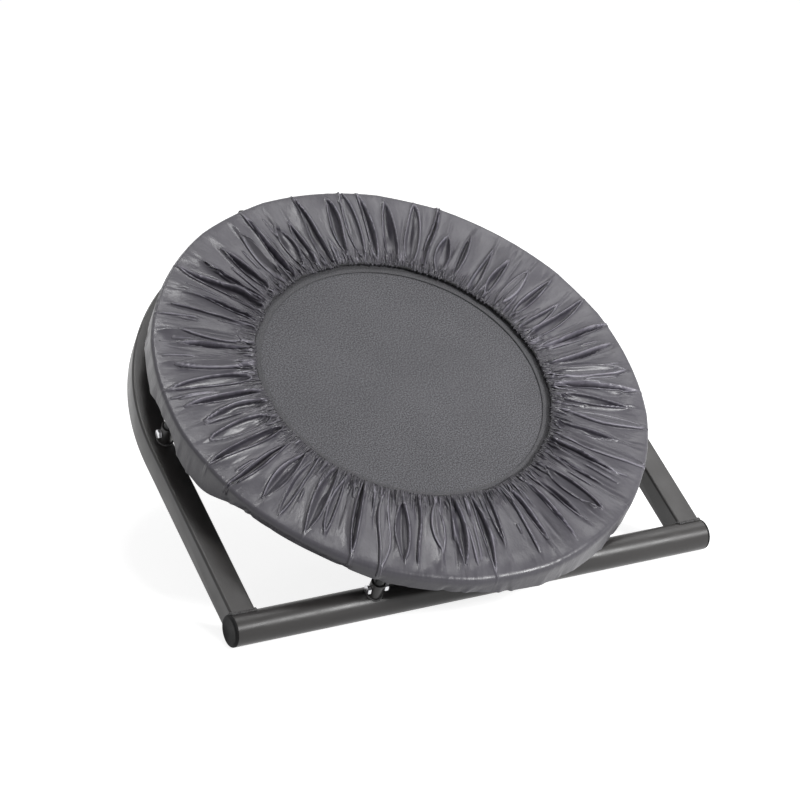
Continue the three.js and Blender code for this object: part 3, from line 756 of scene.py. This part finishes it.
def addChannel():
    inner, t, depth, half = (channel[key] for key in ("inner", "thickness", "depth", "half"))
    bend, small, nose = (channel[key] for key in ("bend", "innerBend", "nose"))
    outer = inner + t
    round15, round30 = ([(1 - cos(radians(a)), 1 - sin(radians(a))) for a in range(0, 91, step)]
                        for step in (15, 30))
    outline = [(-outer, depth)]
    outline += [(-outer + bend * u, -t + bend * v) for u, v in round15]
    outline += [(outer - bend * v, -t + bend * u) for u, v in round15]
    outline += [(outer, depth), (inner, depth)]
    outline += [(inner - small * u, small * v) for u, v in round30]
    outline += [(-inner + small * v, small * u) for u, v in round30]
    body = cutPlate(outline + [(-inner, depth)], 2 * half, "Z")
    flank = [(-2 * t, -half), (depth - nose, -half)]
    flank += [(depth - nose + nose * sin(radians(a)), -half + nose * (1 - cos(radians(a))))
              for a in range(10, 91, 10)]
    flank += [(y, -z) for y, z in reversed(flank)]
    cutWith(body, cutPlate(flank, 0.2), "INTERSECT")
    for z in (-channel["pitch"] / 2, channel["pitch"] / 2):
        cutWith(body, drum(48, channel["hole"], 0.2, (0, channel["holeDepth"], z)))
        cutWith(body, drum(48, channel["hole"], 0.03, (0, -t / 2, z), (radians(90), 0, 0)))
    softenEdges(body, channel["edge"], 40)
    place(body, "rackChannel", "frame_paint", Matrix(), "rack_channel", 30, "bracket")


arm = dict(radius=0.016, half=0.022, bore=0.0106, gusset=0.006, spread=0.03, rootTop=0.073, rootHeight=0.09,
           back=-0.0051, saddle=0.0155, inSleeve=0.002, weldArc=0.0166, weldRadius=0.0018, edge=0.0006)


def addArm():
    pivot = places["pivotAt"][1:]
    sleeve = pipe(arm["radius"], arm["radius"] - arm["bore"], -arm["half"], arm["half"], 72, 0.0008)
    place(sleeve, "pivotSleeve", "frame_paint", pivotPlace @ acrossX, "bracket_arm", body="bracket")
    top, bottom = arm["rootTop"], arm["rootTop"] - arm["rootHeight"]
    outline = [(arm["back"], bottom), (arm["back"], top)] + arc(90, 270, 12, arm["saddle"], pivot)
    plate = cutPlate(outline, arm["gusset"])
    cutWith(plate, drum(72, arm["radius"] - arm["inSleeve"], 0.1, places["pivotAt"]))
    softenEdges(plate, arm["edge"])
    thick = arm["gusset"] / 2
    out = thick + 0.0008
    corners = ((-out, bottom), (out, bottom), (out, top), (-out, top))
    root = weldBead([(x, arm["back"] - 0.0004, z) for x, z in corners])
    for side, word in sides:
        move = shift(side * arm["spread"] / 2, 0, 0)
        placeCopy(plate, "gusset" + word, "frame_paint", move, "bracket_arm", 30, "bracket")
        placeWeld(copyOf(root), "gussetRootWeld" + word, move, "bracket_arm", "bracket")
        for face in (-1, 1):
            line = [(face * thick, y, z) for y, z in arc(-78, 78, 6, arm["weldArc"], pivot)]
            name = f"gussetSleeveWeld{word}{'Inner' if face == -side else 'Outer'}"
            placeWeld(weldBead(line, False, arm["weldRadius"]), name, move, "bracket_arm", "bracket")
    discard(plate, root)


bush = dict(bore=0.0083, wall=0.002, length=0.015, flange=0.015, flangeThickness=0.0015, seat=0.0223)


def addBushes():
    b, f, seat = bush["bore"], bush["flange"], bush["seat"]
    outer, end, out = b + bush["wall"], seat - bush["length"], seat + bush["flangeThickness"]
    profile = [(b, end), (outer, end), (outer, seat), (f - 0.0003, seat), (f, seat + 0.0003),
               (f, out - 0.0004), (f - 0.0004, out), (b + 0.0005, out), (b, out - 0.0005)]
    for side, word in sides:
        move = pivotPlace @ turned(side * 90, "Y")
        piece = turnPiece(profile, 64, True)
        place(piece, "pivotBush" + word, "bush_nylon", move, "pivot_bush_" + word.lower(), 30, "bracket")


addChannel()
addArm()
addBushes()
print("rack bracket done")

# Springs and the wire rings that they hook on
spring = dict(count=30, wire=0.00125, coil=0.00425, coilStart=0.373, coilEnd=0.4616, turns=34,
              pointsPerTurn=12, ringTip=0.36, hookRadius=0.0032, rimTip=0.4786, tipDrop=0.0045,
              tipBend=0.003, moving=0.372, fixed=0.462, lead=((0.3655, 0.0004), (0.3675, 0), (0.3702, 0)),
              tail=(0.4645, 0.468))
wireRing = dict(foot=0.333, width=0.012, tipWidth=0.0042, step=0.0009)


def springPoints():
    # Hook on the wire ring, close coils, and a tip that drops through the rim
    start, turns, each, bend = (spring[key] for key in ("coilStart", "turns", "pointsPerTurn", "tipBend"))
    points = [(x, 0, z) for x, z in arc(228, 4, -16, spring["hookRadius"], (spring["ringTip"], 0))]
    points += [(x, 0, z) for x, z in spring["lead"]]
    for k in range(turns * each + 1):
        share = k / (turns * each)
        radius = spring["coil"] * min(1, share * turns * 1.4, (1 - share) * turns * 1.4)
        angle = 2 * pi * k / each
        points.append((start + (spring["coilEnd"] - start) * share, radius * sin(angle), radius * cos(angle)))
    bendStart = spring["rimTip"] - bend
    points += [(x, 0, 0) for x in (*spring["tail"], bendStart)]
    points += [(x, 0, z) for x, z in arc(60, 0, -30, bend, (bendStart, -bend))]
    return points + [(spring["rimTip"], 0, -spring["tipDrop"])]


def ringOutline():
    # A V of wire, narrow at the spring and wide in the webbing, with rounded corners
    foot, width, tip, narrow = wireRing["foot"], wireRing["width"], spring["ringTip"], wireRing["tipWidth"]
    half = [(foot, width - 0.002), (foot + 0.0006, width - 0.0003), (foot + 0.002, width - 0.0006),
            (tip - 0.002, narrow + 0.0002), (tip - 0.0005, narrow - 0.0006), (tip, narrow - 0.002)]
    whole = half + [(x, -y) for x, y in reversed(half)]
    return evenPoints([(x, y, 0) for x, y in whole], wireRing["step"], True)


def addSprings():
    coil = bentWire(springPoints(), spring["wire"])
    ring = bentWire(ringOutline(), spring["wire"], True)
    for k in range(spring["count"]):
        turn = bedPlace @ turned(360 * (k + 0.5) / spring["count"], "Z")
        number = f"{k + 1:02d}"
        piece = placeCopy(coil, "spring" + number, "spring_steel", turn, "spring_" + number, 60, None)
        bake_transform(piece)
        placeCopy(ring, "wireRing" + number, "zinc_plate", turn, "webbing_bottom", 60, "bed", "webbing")
    discard(coil, ring)


addSprings()
print("springs done")

# Mat, its webbing and stitches
mat = dict(radius=0.328, thickness=0.0014, rings=18, sides=144, calm=0.28, wave=0.0005)
webbing = dict(inner=0.283, outer=0.343, thickness=0.0015, edge=0.0004, top=0.00155, bottom=-0.0028)
stitch = dict(rows=(0.2855, 0.2905, 0.3125, 0.3365, 0.3405), length=0.0034, gap=0.0012, radius=0.00035)


def layUv(piece, move, radius=None):
    # UV in metres: straight across a disc, or along and across a ring of that radius
    mesh, back = piece.data, move.inverted()
    x, y, z = np.array([back @ mesh.vertices[loop.vertex_index].co for loop in mesh.loops]).T
    if radius:
        angle = np.arctan2(y, x)
        starts, counts = zip(*((face.loop_start, face.loop_total) for face in mesh.polygons))
        angle -= 2 * pi * np.round((angle - np.repeat(angle[list(starts)], counts)) / (2 * pi))
        x, y = angle * radius, np.hypot(x, y) + z * 0.5
    layer = mesh.uv_layers[0] if mesh.uv_layers else mesh.uv_layers.new(name="cloth")
    layer.data.foreach_set("uv", np.stack([x, y], axis=1).ravel())


def addMat():
    bpy.ops.mesh.primitive_circle_add(vertices=mat["sides"], radius=mat["radius"], fill_type="NGON")
    sheet = bpy.context.object
    startEditing()
    for _ in range(mat["rings"] - 1):
        bpy.ops.mesh.inset(thickness=mat["radius"] / mat["rings"] * 0.98, depth=0)
    bpy.ops.mesh.poke()
    bpy.ops.object.mode_set(mode="OBJECT")
    for vertex in sheet.data.vertices:
        x, y = vertex.co.x, vertex.co.y
        calm = max(0, 1 - (sqrt(x * x + y * y) / mat["calm"]) ** 4)
        vertex.co.z += calm * mat["wave"] * (sin(9 * x + 2) * cos(11 * y) + 0.5 * sin(23 * x - 17 * y))
    modify(sheet, "SOLIDIFY", thickness=mat["thickness"], offset=0)
    place(sheet, "matSheet", "woven_mat", bedPlace, "mat", 30, "bed")
    layUv(sheet, bedPlace)

    a, b, t, edge = (webbing[key] for key in ("inner", "outer", "thickness", "edge"))
    for where in ("top", "bottom"):
        low = webbing[where]
        high = low + t
        profile = [(a + edge, low), (a, low + t / 2), (a + edge, high)]
        for share in (0.1, 0.3, 0.5, 0.7, 0.9):
            profile.append((a + (b - a) * share, high + 0.0001 * sin(share * 12)))
        profile += [(b - edge, high), (b, low + t / 2), (b - edge, low)]
        name, node = "webbing" + where.capitalize(), "webbing_" + where
        strip = place(turnPiece(profile, 288, True), name, "webbing", bedPlace, node, 40, "bed")
        layUv(strip, bedPlace, (a + b) / 2)


def addStitches():
    # One stitch is modelled, then repeated round each row
    bpy.ops.mesh.primitive_uv_sphere_add(segments=6, ring_count=4, radius=1)
    one = bpy.context.object
    radius, length = stitch["radius"], stitch["length"]
    one.data.transform(Matrix.Diagonal((radius * 1.3, length / 2, radius, 1)))
    base = [tuple(v.co) for v in one.data.vertices]
    faces = [tuple(p.vertices) for p in one.data.polygons]
    discard(one)
    height = webbing["top"] + webbing["thickness"] + 0.0001
    points, polygons = [], []
    for row in stitch["rows"]:
        count = int(2 * pi * row / (length + stitch["gap"]))
        for k in range(count):
            c, s = cos(2 * pi * k / count), sin(2 * pi * k / count)
            first = len(points)
            points += [((x + row) * c - y * s, (x + row) * s + y * c, z + height) for x, y, z in base]
            polygons += [tuple(first + i for i in face) for face in faces]
    piece = meshPiece(points, polygons)
    place(piece, "webbingStitches", "thread", bedPlace, "webbing_top", 60, "bed", "webbing")


def meshPiece(points, faces):
    mesh = bpy.data.meshes.new("sheet")
    mesh.from_pydata(points, [], faces)
    return newObject("sheet", mesh)


addMat()
addStitches()
print("mat done")

# Skirt: nylon gathered on an elastic round the ball opening, over the springs and the rim
skirt = dict(columns=1440, seed=7, thickness=0.0006, hem=0.3, hemRoll=0.0028, hemHeight=0.1241,
             hemAngles=(-60, -110, -160, 150, 105), rowsAcross=19, spacing=1.1, start=0.3015, top=0.1268,
             edge=0.4875, outside=0.5003, endFold=0.0014, flat=(3.142, 0.262), folds=60, fineFolds=130,
             shortFolds=210, facets=46, puckers=170, sideFolds=90, sags=14, sagDepth=0.002, lipReach=0.02,
             lipLine=0.0003)
elastic = dict(radius=0.2995, height=0.124, thick=0.002, steps=240)
# How far the side hangs down from the rim's top, in degrees round the bed and metres
skirtHang = ((0, 0.052), (35, 0.044), (70, 0.038), (110, 0.042), (150, 0.05), (168, 0.052), (174, 0.034),
             (183, 0.036), (187, 0.062), (196, 0.064), (205, 0.021), (225, 0.02), (240, 0.03), (262, 0.034),
             (280, 0.054), (295, 0.064), (330, 0.06))
# Radius of the turn over the rim: round at the bottom, tighter elsewhere
skirtTurn = ((0, 0.007), (200, 0.007), (235, 0.0125), (290, 0.0125), (320, 0.007))


def fade(value, low, high):
    t = np.clip((value - low) / (high - low), 0, 1)
    return t * t * (3 - 2 * t)


def skirtRows():
    # Rows from the hem out: radius, share of the way to the rim, degrees of the turn, share of the way down
    rows = [(skirt["hem"] + skirt["hemRoll"] * cos(radians(a)), 0, 0, 0) for a in skirt["hemAngles"]]
    for k in range(1, skirt["rowsAcross"] + 1):
        share = (k / skirt["rowsAcross"]) ** skirt["spacing"]
        rows.append((skirt["start"] + share * (skirt["edge"] - skirt["start"]), share, 0, 0))
    rows += [(skirt["outside"], 1.0, turn, 0) for turn in (22, 45, 68, 90)]
    rows += [(skirt["outside"], 1.0, 90, down) for down in (0.2, 0.45, 0.7, 0.88, 1.0)]
    rows.append((skirt["outside"] - skirt["endFold"], 1.0, 90, 0.95))
    return np.array(rows)


def swept(angles, share):
    # The gathers lean round the bed together, by a slow wave
    lean = 0.05 * np.sin(2 * angles + 1) + 0.03 * np.sin(5 * angles + 0.5)
    return angles[None, :] + lean[None, :] * (share - 0.4)


def lowestCloth(rho, angles):
    # The cloth lies over webbing, springs and rim tube, and sinks only between the springs
    pitch = 2 * pi / spring["count"]
    beside = np.abs(angles % pitch - pitch / 2) * rho
    bed = places["bedHeight"]
    low = bed - 0.006 + 0.0129 * (1 - fade(beside, 0.0065, 0.019))
    low += (np.maximum(low, bed + 0.0054) - low) * (1 - fade(rho, 0.363, 0.39))
    reach = np.clip(np.abs(np.maximum(rho, 0.474) - rim["radius"]), 0, rim["tube"])
    tube = bed + np.sqrt(rim["tube"] ** 2 - reach ** 2) + 0.0012
    return low + (np.maximum(tube, low) - low) * fade(rho, 0.435, 0.466)


def hump(gap, width, power):
    return np.exp(-(np.abs(gap) / width) ** power)


def foldField(angles, rows):
    # Height of the folds, way to the nearest lip, negative inside its fold, and how far that lip stands out
    rng = np.random.default_rng(skirt["seed"])
    draw, pick = rng.uniform, rng.choice
    share, rho = rows[:, 1][:, None], rows[:, 0][:, None]
    lift = np.zeros((len(rows), len(angles)))
    lipGap, lipRise = np.full_like(lift, skirt["lipReach"]), np.zeros_like(lift)

    def across(centre):
        return ((angles[None, :] - centre + pi) % (2 * pi) - pi) * rho

    def markLip(out, rise):
        closer = (np.abs(out) < lipGap) & (rise > 0.05)
        lipGap[closer] = out[closer]
        lipRise[closer] = np.broadcast_to(rise, lift.shape)[closer]

    def addFold(k):
        middle = (k + 0.5 + draw(-0.24, 0.24)) * 2 * pi / skirt["folds"]
        end, start = draw(0.66, 1.08), draw(-0.08, 0.14)
        centre = middle + draw(-0.02, 0.02) * (share - 0.4)
        centre += draw(-0.012, 0.012) * np.sin(share * pi * draw(1, 2.2))
        kind = pick(["hollow", "ridge", "blade"], p=[0.82, 0.06, 0.12])
        gap = across(centre) * pick([-1, 1])
        way = np.clip((share - start) / (end - start), 0, 1)
        body = np.sin(pi * way ** draw(0.6, 1.25)) ** 0.75
        ends = fade(share, -0.01, 0.06) * (1 - fade(share, end - 0.06, end + 0.07))
        crest = draw(0.0038, 0.0075)
        if kind == "hollow":
            # A flat bottomed almond between two lips, each steep inside and easy outside
            half = pick([draw(0.0025, 0.006), draw(0.006, 0.015)], p=[0.3, 0.7]) * body + 0.0004
            out = np.abs(gap) - half
            wide = draw(0.004, 0.0085) * (0.3 + 0.7 * body)
            lip = hump(out, np.where(out > 0, wide, 0.0024), 1.3)
            level = np.where(gap < 0, 1, draw(0.35, 1.0))
            floor = np.clip(1 - np.abs(gap / half) ** 2.4, 0, 1) ** 1.2
            lift[:] += crest * level * lip * ends - draw(0.006, 0.016) * floor * body * ends
            markLip(out, level * ends)
        elif kind == "ridge":
            lift[:] += 1.2 * crest * hump(gap, draw(0.0026, 0.0042), 1.3) * ends
            markLip(np.abs(gap) - skirt["lipLine"], ends)
        else:
            # A raised blade with a leaning top
            half = draw(0.006, 0.012) * body + 0.0012
            lift[:] += crest * (1 + 0.45 * np.clip(gap / half, -1, 1)) / (1 + (gap / half) ** 8) * ends
            markLip(np.abs(gap) - half, ends)
        return centre

    def addCrease(ends, width, power, drift, sink, rises, mark):
        # A small crease that starts anywhere, drifts round the bed, and rises or sinks
        gap = across(draw(0, 2 * pi) + draw(-drift, drift) * share)
        rise = pick([1.0, sink]) * draw(*rises)
        lift[:] += rise * hump(gap, width, power) * ends
        markLip(np.abs(gap) - skirt["lipLine"], max(rise, 0) * mark * ends)

    centres = [addFold(k) for k in range(skirt["folds"])]
    # Between two folds the cloth leans over to one side
    order = np.argsort([c[0, 0] for c in centres])
    lean = draw(0.004, 0.014, skirt["folds"]) * pick([-1, 1], skirt["folds"], p=[0.4, 0.6])
    for first, second, slope in zip(order, np.roll(order, -1), lean):
        a, b = centres[first], centres[second]
        part = ((angles[None, :] - a) % (2 * pi)) / ((b - a) % (2 * pi))
        shape = slope * (part - 0.5) * np.clip(np.minimum(part, 1 - part) * 8, 0, 1)
        lift += np.where(part < 1, shape, 0) * fade(share, 0.0, 0.15) * (1 - fade(share, 0.82, 1.0))
    # Fine long creases
    for _ in range(skirt["fineFolds"]):
        start, width = draw(0.0, 0.6), draw(0.0016, 0.0026)
        end = start + draw(0.25, 0.6)
        ends = fade(share, start, start + 0.1) * (1 - fade(share, end - 0.15, end))
        addCrease(ends, width, 1.4, 0.05, -1.2, (0.0012, 0.003), 300)
    # Short gathers that start at the hem, and a ruffle on it
    for _ in range(skirt["shortFolds"]):
        end, width = draw(0.1, 0.45), draw(0.0016, 0.0034)
        ends = fade(share, -0.01, 0.03) * (1 - fade(share, end * 0.4, end))
        addCrease(ends, width, 1.5, 0.08, -1.0, (0.0016, 0.0042), 250)
    phase = 8 * np.sin(angles * 3 + 1) + 5 * np.sin(angles * 7)
    ruffle = 0.0021 * np.sin(angles * 283 + phase) + 0.0016 * np.sin(angles * 151 - phase)
    lift += ruffle[None, :] * (1 - fade(share, 0.0, 0.13))
    # Flat facets with sharp creases where the cloth is drawn to the rim
    knots = np.sort(draw(0, 2 * pi, skirt["facets"]))
    ranges = ((-0.004, 0.0055), (-0.16, 0.16), (0.62, 0.9))
    heights, drifts, peaks = (draw(*limits, skirt["facets"]) for limits in ranges)
    for row, part in enumerate(rows[:, 1]):
        tent = np.clip(np.minimum((part - 0.35) / (peaks - 0.35), (1.0 - part) / (1.0 - peaks)), 0, 1)
        lift[row] += np.interp(angles, knots + drifts * (part - 0.8), heights * tent, period=2 * pi)
    # Puckers where the cloth turns over the rim, and a slow swell
    for _ in range(skirt["puckers"]):
        start, width = draw(0.8, 0.93), draw(0.003, 0.006)
        gap = across(draw(0, 2 * pi) + draw(-0.05, 0.05) * (share - 1))
        shape = hump(gap, width, 1.5) * fade(share, start, start + 0.07)
        lift += draw(0.0003, 0.0012) * shape * (1 - 0.7 * fade(share, 0.93, 1.0))
    swell = 0.0008 * np.sin(angles * 5 + 2) + 0.0006 * np.sin(angles * 13)
    lift += swell[None, :] * np.sin(pi * np.clip(share, 0, 1))
    # No hollow goes through what lies under the cloth
    lowest = lowestCloth(rho, swept(angles, share))
    depth = np.maximum(skirt["top"] - skirt["thickness"] - lowest, 0.0003)
    return np.where(lift < 0, -depth * np.tanh(-lift / depth), lift), lipGap, lipRise


def sideFolds(angles, down):
    # Soft upright folds of the hanging side, in metres outwards
    rng = np.random.default_rng(skirt["seed"] + 11)
    draw = rng.uniform
    lift = np.zeros((len(down), len(angles)))
    for _ in range(skirt["sideFolds"]):
        middle, width = draw(0, 2 * pi), draw(0.003, 0.011)
        off = angles[None, :] - middle - draw(-0.03, 0.03) * down
        gap = ((off + pi) % (2 * pi) - pi) * skirt["outside"]
        grow = fade(down, draw(-0.2, 0.3), draw(0.6, 1.1))
        lift += rng.choice([1, -0.8]) * draw(0.0008, 0.0028) * hump(gap, width, 1.6) * grow
    return lift


def outlineSag(angles):
    # The outer edge runs nearly straight between the places where it is pulled tight
    rng = np.random.default_rng(skirt["seed"] + 3)
    count = skirt["sags"]
    stops = np.sort((np.arange(count) + rng.uniform(-0.3, 0.3, count)) * 2 * pi / count)
    sag = np.zeros_like(angles)
    for a, b in zip(stops, np.append(stops[1:], stops[0] + 2 * pi)):
        t = ((angles - a) % (2 * pi)) / (b - a)
        sag += np.where(t < 1, skirt["sagDepth"] * 4 * t * (1 - t), 0)
    return sag


def addSkirt():
    columns = skirt["columns"]
    angles = np.arange(columns) * 2 * pi / columns
    rows = skirtRows()
    share, turn, down = rows[:, 1][:, None], np.radians(rows[:, 2][:, None]), rows[:, 3][:, None]
    lift, lipGap, lipRise = foldField(angles, rows)
    wrinkles = lift[np.flatnonzero(rows[:, 1] == 1)[0]][None, :]
    inHem = share == 0
    lipRise *= (1 - 0.5 * np.sin(turn)) * (1 - fade(down, 0, 0.5))
    lift *= np.where(inHem, 0.5, 1) * np.cos(turn)
    bend, hang = (np.interp(np.degrees(angles), *zip(*stops), period=360) for stops in (skirtTurn, skirtHang))
    bend, hang = (sum(np.roll(line, k) for k in range(-9, 10)) / 19 for line in (bend, hang))
    # Flat to the edge, then over the turn and down the side
    rho = np.repeat(rows[:, 0][:, None], columns, axis=1)
    rho -= (turn > 0) * bend * (1 - np.sin(turn))
    rho -= (skirt["edge"] + bend - skirt["outside"]) * fade(share, 0.6, 1.0) * (turn == 0)
    height = np.full_like(rho, skirt["top"])
    rolled = skirt["hemHeight"] + skirt["hemRoll"] * np.sin(np.radians(skirt["hemAngles"]))
    height[:len(rolled)] = rolled[:, None]
    height -= bend * (1 - np.cos(turn)) + down * (hang - bend) - lift
    rho += wrinkles * 0.3 * np.sin(turn) * (1 - fade(down, 0.2, 1.0)) + sideFolds(angles, down) * (down > 0)
    rho -= outlineSag(angles)[None, :] * fade(share, 0.75, 1.0)
    # The hem wanders a little in and out
    wander = 0.0012 * np.sin(angles * 17 + 1) + 0.0008 * np.sin(angles * 41)
    rho += wander[None, :] * np.clip(1 - share * 12, 0, 1) + inHem * lift * 1.5
    around = swept(angles, share)
    points = np.stack([rho * np.cos(around), rho * np.sin(around), height], axis=-1).reshape(-1, 3)

    # UV in metres along the hem and out along the cloth
    middle = np.stack([rho.mean(axis=1), height.mean(axis=1)])
    along = np.concatenate([[0], np.cumsum(np.hypot(*np.diff(middle)))])
    faces, uv, corners = [], [], ((0, 0), (1, 0), (1, 1), (0, 1))
    for r in range(len(rows) - 1):
        for c in range(columns):
            faces.append([(r + i) * columns + (c + j) % columns for i, j in corners])
            uv.append([((c + j) * pi / columns, along[r + i]) for i, j in corners])
    piece = meshPiece([tuple(p) for p in points], faces)
    # The lips go on the points for the nylon's bumps and its painted highlight
    for name, values in (("lipGap", lipGap), ("lipRise", lipRise)):
        piece.data.attributes.new(name, "FLOAT", "POINT").data.foreach_set("value", values.ravel())
    piece.data.uv_layers.new(name="cloth").data.foreach_set("uv", np.array(uv).ravel())
    modify(piece, "SOLIDIFY", thickness=skirt["thickness"], offset=-1)
    place(piece, "skirtCloth", "skirt_nylon", skirtPlace, "skirt", 80)


def addElastic():
    profile = arc(0, 330, 30, elastic["thick"], (elastic["radius"], elastic["height"]))
    piece = turnPiece(profile, elastic["steps"], True)
    place(piece, "hemElastic", "elastic", skirtPlace, "hem_elastic", 60)
    layUv(piece, skirtPlace, skirt["hem"])


addSkirt()
addElastic()
print("skirt done")
